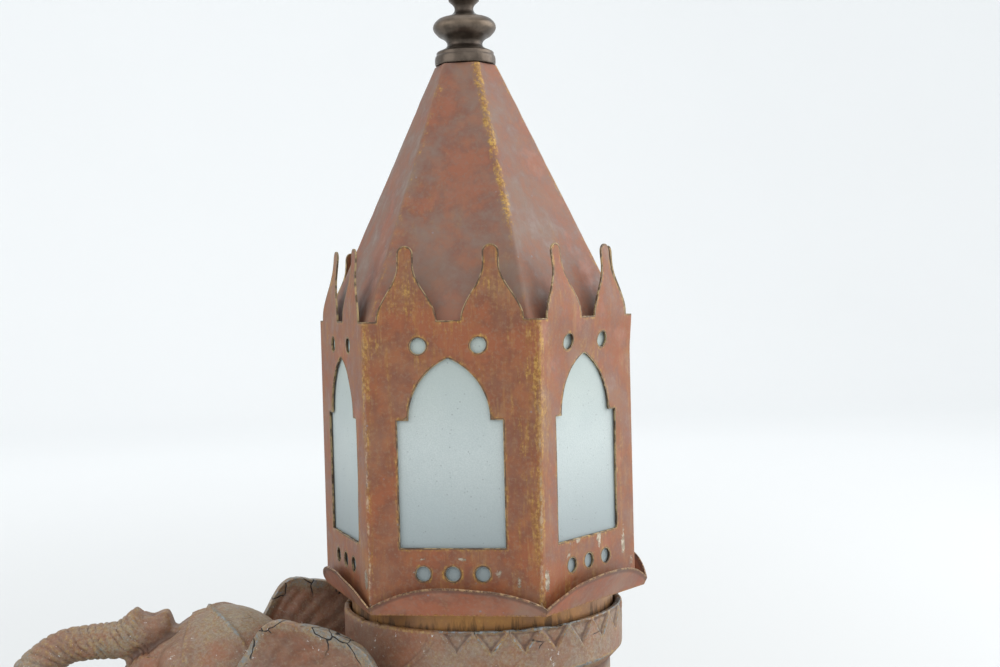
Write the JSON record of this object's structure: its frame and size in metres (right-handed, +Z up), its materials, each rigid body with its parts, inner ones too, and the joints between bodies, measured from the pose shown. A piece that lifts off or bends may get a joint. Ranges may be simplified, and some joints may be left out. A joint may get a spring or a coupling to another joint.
{
  "type": "elephant lantern table lamp",
  "caption": "Cast elephant on a stepped base carrying a drum howdah and a lift-off hexagonal lantern with frosted panes, battlements and a pyramid roof.",
  "frame": {"origin": "centre of the base's underside, on the upright axis through the drum, lantern and finial", "axes": "+Z up along the lamp's axis; the elephant faces -X and its left side is -Y, so +X runs back to its tail"},
  "size_m": [0.2698, 0.1102, 0.42],
  "materials": {
    "cast_paint": "red-brown paint worn to brass-gold and grey, satin",
    "tusk_metal": "worn pale paint, satin",
    "sheet_paint": "terracotta paint rubbed through to gold at edges, satin",
    "roof_paint": "mauve-brown dulled terracotta paint, worn ridges, satin",
    "collar_brass": "tarnished with dark drips",
    "finial_bronze": "dark bronze patina, semi-gloss",
    "frosted_glass": "frosted, fine grain",
    "plain_steel": "dull zinc-plated steel",
    "felt": "dark green felt",
    "bushing_black": "matte black",
    "lamp_brass": "lacquered lamp brass",
    "strip_metal": "dull tinned strip",
    "liner_card": "insulating card",
    "phenolic": "black phenolic",
    "bulb_metal": "spun aluminium cap",
    "bulb_clear": "clear soda-lime glass",
    "filament_wire": "tungsten wire"
  },
  "bodies": {
    "elephant": {"base_plinth": "cast_paint", "base_cover": "plain_steel", "felt_pad": "felt", "cover_screws": "plain_steel", "base_screws": "plain_steel", "cord_bushing": "bushing_black", "elephant_left": "cast_paint", "elephant_right": "cast_paint", "body_screws": "plain_steel", "ear_left": "cast_paint", "ear_right": "cast_paint", "ear_screws": "plain_steel", "tusk_left": "tusk_metal", "tusk_right": "tusk_metal", "tail": "cast_paint", "drum": "cast_paint", "lamp_pipe": "lamp_brass", "pipe_nuts": "lamp_brass", "pipe_washers": "plain_steel", "socket_cap": "lamp_brass", "socket_shell": "lamp_brass", "socket_liner": "liner_card", "socket_body": "phenolic", "screw_shell": "lamp_brass", "centre_contact": "lamp_brass"},
    "lantern": {"lantern_cage": "sheet_paint", "lantern_tray": "sheet_paint", "lantern_collar": "collar_brass", "glass_pane_1": "frosted_glass", "glass_pane_2": "frosted_glass", "glass_pane_3": "frosted_glass", "glass_pane_4": "frosted_glass", "glass_pane_5": "frosted_glass", "glass_pane_6": "frosted_glass", "corner_strips": "strip_metal", "roof_spider": "strip_metal", "finial_stud": "lamp_brass", "stud_nuts": "lamp_brass"},
    "roof_top": {"roof": "roof_paint", "roof_washer": "plain_steel"},
    "finial_knob": {"finial": "finial_bronze"},
    "bulb": {"bulb_base": "bulb_metal", "bulb_contact": "bulb_metal", "bulb_glass": "bulb_clear", "bulb_stem": "bulb_clear", "filament": "filament_wire"}
  },
  "joints": [
    {"name": "lantern_lift", "type": "slide", "parent": "elephant", "child": "lantern", "axis": [0, 0, 1], "range_m": [0, 0.115]},
    {"name": "roof_lift", "type": "slide", "parent": "lantern", "child": "roof_top", "axis": [0, 0, 1], "range_m": [0, 0.11]},
    {"name": "finial_turn", "type": "hinge", "parent": "roof_top", "child": "finial_knob", "pos_m": [0, 0, 0.39], "axis": [0, 0, 1], "range_deg": [0, 5360]},
    {"name": "bulb_turn", "type": "hinge", "parent": "elephant", "child": "bulb", "pos_m": [0, 0, 0.21], "axis": [0, 0, 1], "range_deg": [0, 1800]}
  ]
}
